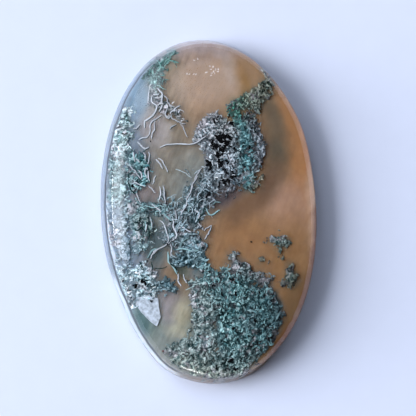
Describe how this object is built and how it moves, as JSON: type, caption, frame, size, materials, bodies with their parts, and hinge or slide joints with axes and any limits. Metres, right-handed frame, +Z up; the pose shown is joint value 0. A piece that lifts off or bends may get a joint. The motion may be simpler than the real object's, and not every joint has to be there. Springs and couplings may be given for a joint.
{
  "type": "moss agate cabochon",
  "caption": "Oval polished cabochon of translucent moss agate with a flat back, a low wall and a gently domed crown.",
  "frame": {"origin": "middle of the flat back", "axes": "+Z up out of the domed crown, +Y along the long axis towards the end with the clear honey-coloured window, +X towards the honey-coloured side"},
  "size_m": [0.0254, 0.04, 0.006],
  "materials": {
    "moss_agate": "polished translucent chalcedony, milky lavender on one side and honey coloured on the other, with green, white and black moss-like inclusions"
  },
  "bodies": {
    "root": {"moss_agate": "moss_agate"}
  },
  "joints": []
}
